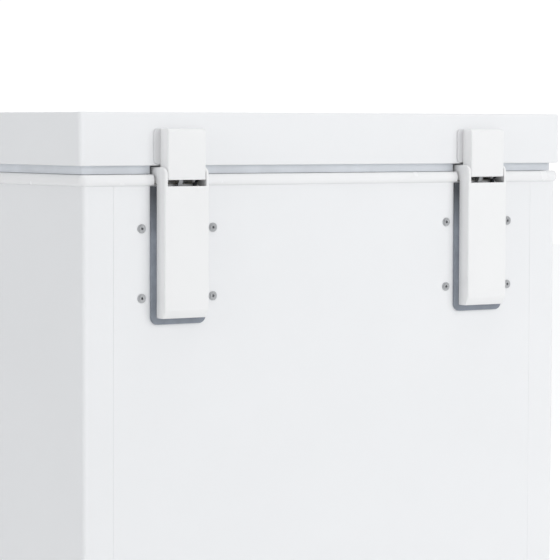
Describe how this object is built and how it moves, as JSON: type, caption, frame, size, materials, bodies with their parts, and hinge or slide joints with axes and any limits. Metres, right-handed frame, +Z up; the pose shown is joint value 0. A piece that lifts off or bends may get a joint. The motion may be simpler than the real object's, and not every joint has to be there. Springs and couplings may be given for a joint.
{
  "type": "chest freezer",
  "caption": "Compact white chest freezer with a counterbalanced rear-hinged lid, magnetic gasket, wire basket, thermostat dial, drain and enclosed compressor.",
  "frame": {"origin": "centre of the footprint, on the floor under the feet", "axes": "+Z up, front of the freezer faces -Y, +X to the right of someone who looks along +Y at the front"},
  "size_m": [0.63, 0.573, 0.85],
  "materials": {
    "white_steel": "satin white coated sheet",
    "white_plastic": "fine-grained white plastic",
    "trim_plastic": "smooth white plastic",
    "liner_metal": "stucco embossed white-coated aluminium",
    "foam": "rigid insulation foam",
    "zinc_steel": "zinc plated",
    "hinge_steel": "bluish grey coated steel",
    "leaf_steel": "light grey coated steel",
    "black_steel": "black enamel",
    "copper": "drawn copper tube",
    "aluminium": "drawn aluminium",
    "rubber": "matt black rubber",
    "gasket": "soft light grey gasket",
    "black_plastic": "matt black plastic",
    "grey_plastic": "light grey plastic",
    "green_lens": "clear green lens",
    "red_lens": "clear red lens",
    "spring_steel": "oiled spring wire",
    "coated_wire": "white coated wire",
    "chrome": "polished"
  },
  "bodies": {
    "cabinet": {"front_panel": "white_steel", "side_panel_left": "white_steel", "side_panel_right": "white_steel", "rear_panel": "white_steel", "base_pan": "zinc_steel", "foam_tub": "foam", "inner_liner": "liner_metal", "rim_trim": "trim_plastic", "bay_panel": "zinc_steel", "compressor": "black_steel", "compressor_mount": "zinc_steel", "mount_grommets": "rubber", "mount_bolts": "zinc_steel", "relay_cover": "black_plastic", "filter_drier": "copper", "refrigerant_pipes": "copper", "evaporator_coil": "aluminium", "condenser_coil": "copper", "side_grille": "grey_plastic", "service_cover": "grey_plastic", "cover_screws": "zinc_steel", "cord_inlet": "rubber", "control_panel": "white_plastic", "thermostat": "black_plastic", "power_lamp": "green_lens", "run_lamp": "red_lens", "drain_pipe": "white_plastic", "feet": "rubber", "foot_screws": "zinc_steel", "hinge_base_left": "hinge_steel", "hinge_base_right": "hinge_steel", "lower_cover_left": "white_plastic", "lower_cover_right": "white_plastic", "backing_plates": "zinc_steel", "panel_rivets": "zinc_steel", "base_screws": "zinc_steel", "hinge_pins": "chrome"},
    "lid": {"lid_pan": "white_steel", "lid_foam": "foam", "lid_liner": "trim_plastic", "lid_gasket": "gasket", "lid_handle": "white_plastic", "handle_screws": "zinc_steel", "hinge_leaf_left": "leaf_steel", "hinge_leaf_right": "leaf_steel", "upper_cover_left": "white_plastic", "upper_cover_right": "white_plastic", "lid_plates": "zinc_steel", "leaf_screws": "zinc_steel", "lever_pins": "chrome"},
    "lock": {"lock_barrel": "chrome"},
    "basket": {"basket": "coated_wire"},
    "knob": {"thermostat_knob": "grey_plastic"},
    "drain_plug": {"drain_plug": "grey_plastic"},
    "drain_cap": {"drain_cap": "white_plastic"},
    "rod_left": {"spring_rod_left": "zinc_steel", "hinge_spring_left": "spring_steel"},
    "rod_right": {"spring_rod_right": "zinc_steel", "hinge_spring_right": "spring_steel"}
  },
  "joints": [
    {"name": "lid_hinge", "type": "hinge", "parent": "cabinet", "child": "lid", "pos_m": [0, 0.277, 0.785], "axis": [-1, 0, 0], "range_deg": [0, 80]},
    {"name": "rod_left_slide", "type": "slide", "parent": "cabinet", "child": "rod_left", "axis": [0, 0, 1], "range_m": [0, 0.0091], "deforming": ["hinge_spring_left"]},
    {"name": "rod_right_slide", "type": "slide", "parent": "cabinet", "child": "rod_right", "axis": [0, 0, 1], "range_m": [0, 0.0091], "deforming": ["hinge_spring_right"]},
    {"name": "lock_turn", "type": "hinge", "parent": "lid", "child": "lock", "pos_m": [0, -0.2785, 0.7755], "axis": [0, 1, 0], "range_deg": [0, 90]},
    {"name": "basket_slide", "type": "slide", "parent": "cabinet", "child": "basket", "axis": [-1, 0, 0], "range_m": [0, 0.27]},
    {"name": "knob_turn", "type": "hinge", "parent": "cabinet", "child": "knob", "pos_m": [0.258, -0.2675, 0.12], "axis": [0, 1, 0], "range_deg": [0, 270]},
    {"name": "drain_plug_lift", "type": "slide", "parent": "cabinet", "child": "drain_plug", "axis": [0, 0, 1], "range_m": [0, 0.04]},
    {"name": "drain_cap_pull", "type": "slide", "parent": "cabinet", "child": "drain_cap", "axis": [0, -1, 0], "range_m": [0, 0.03]}
  ],
  "couplings": [
    {"joint": "rod_left_slide", "follows": "lid_hinge", "m_per_rad": 0.006446},
    {"joint": "rod_right_slide", "follows": "lid_hinge", "m_per_rad": 0.006446}
  ]
}
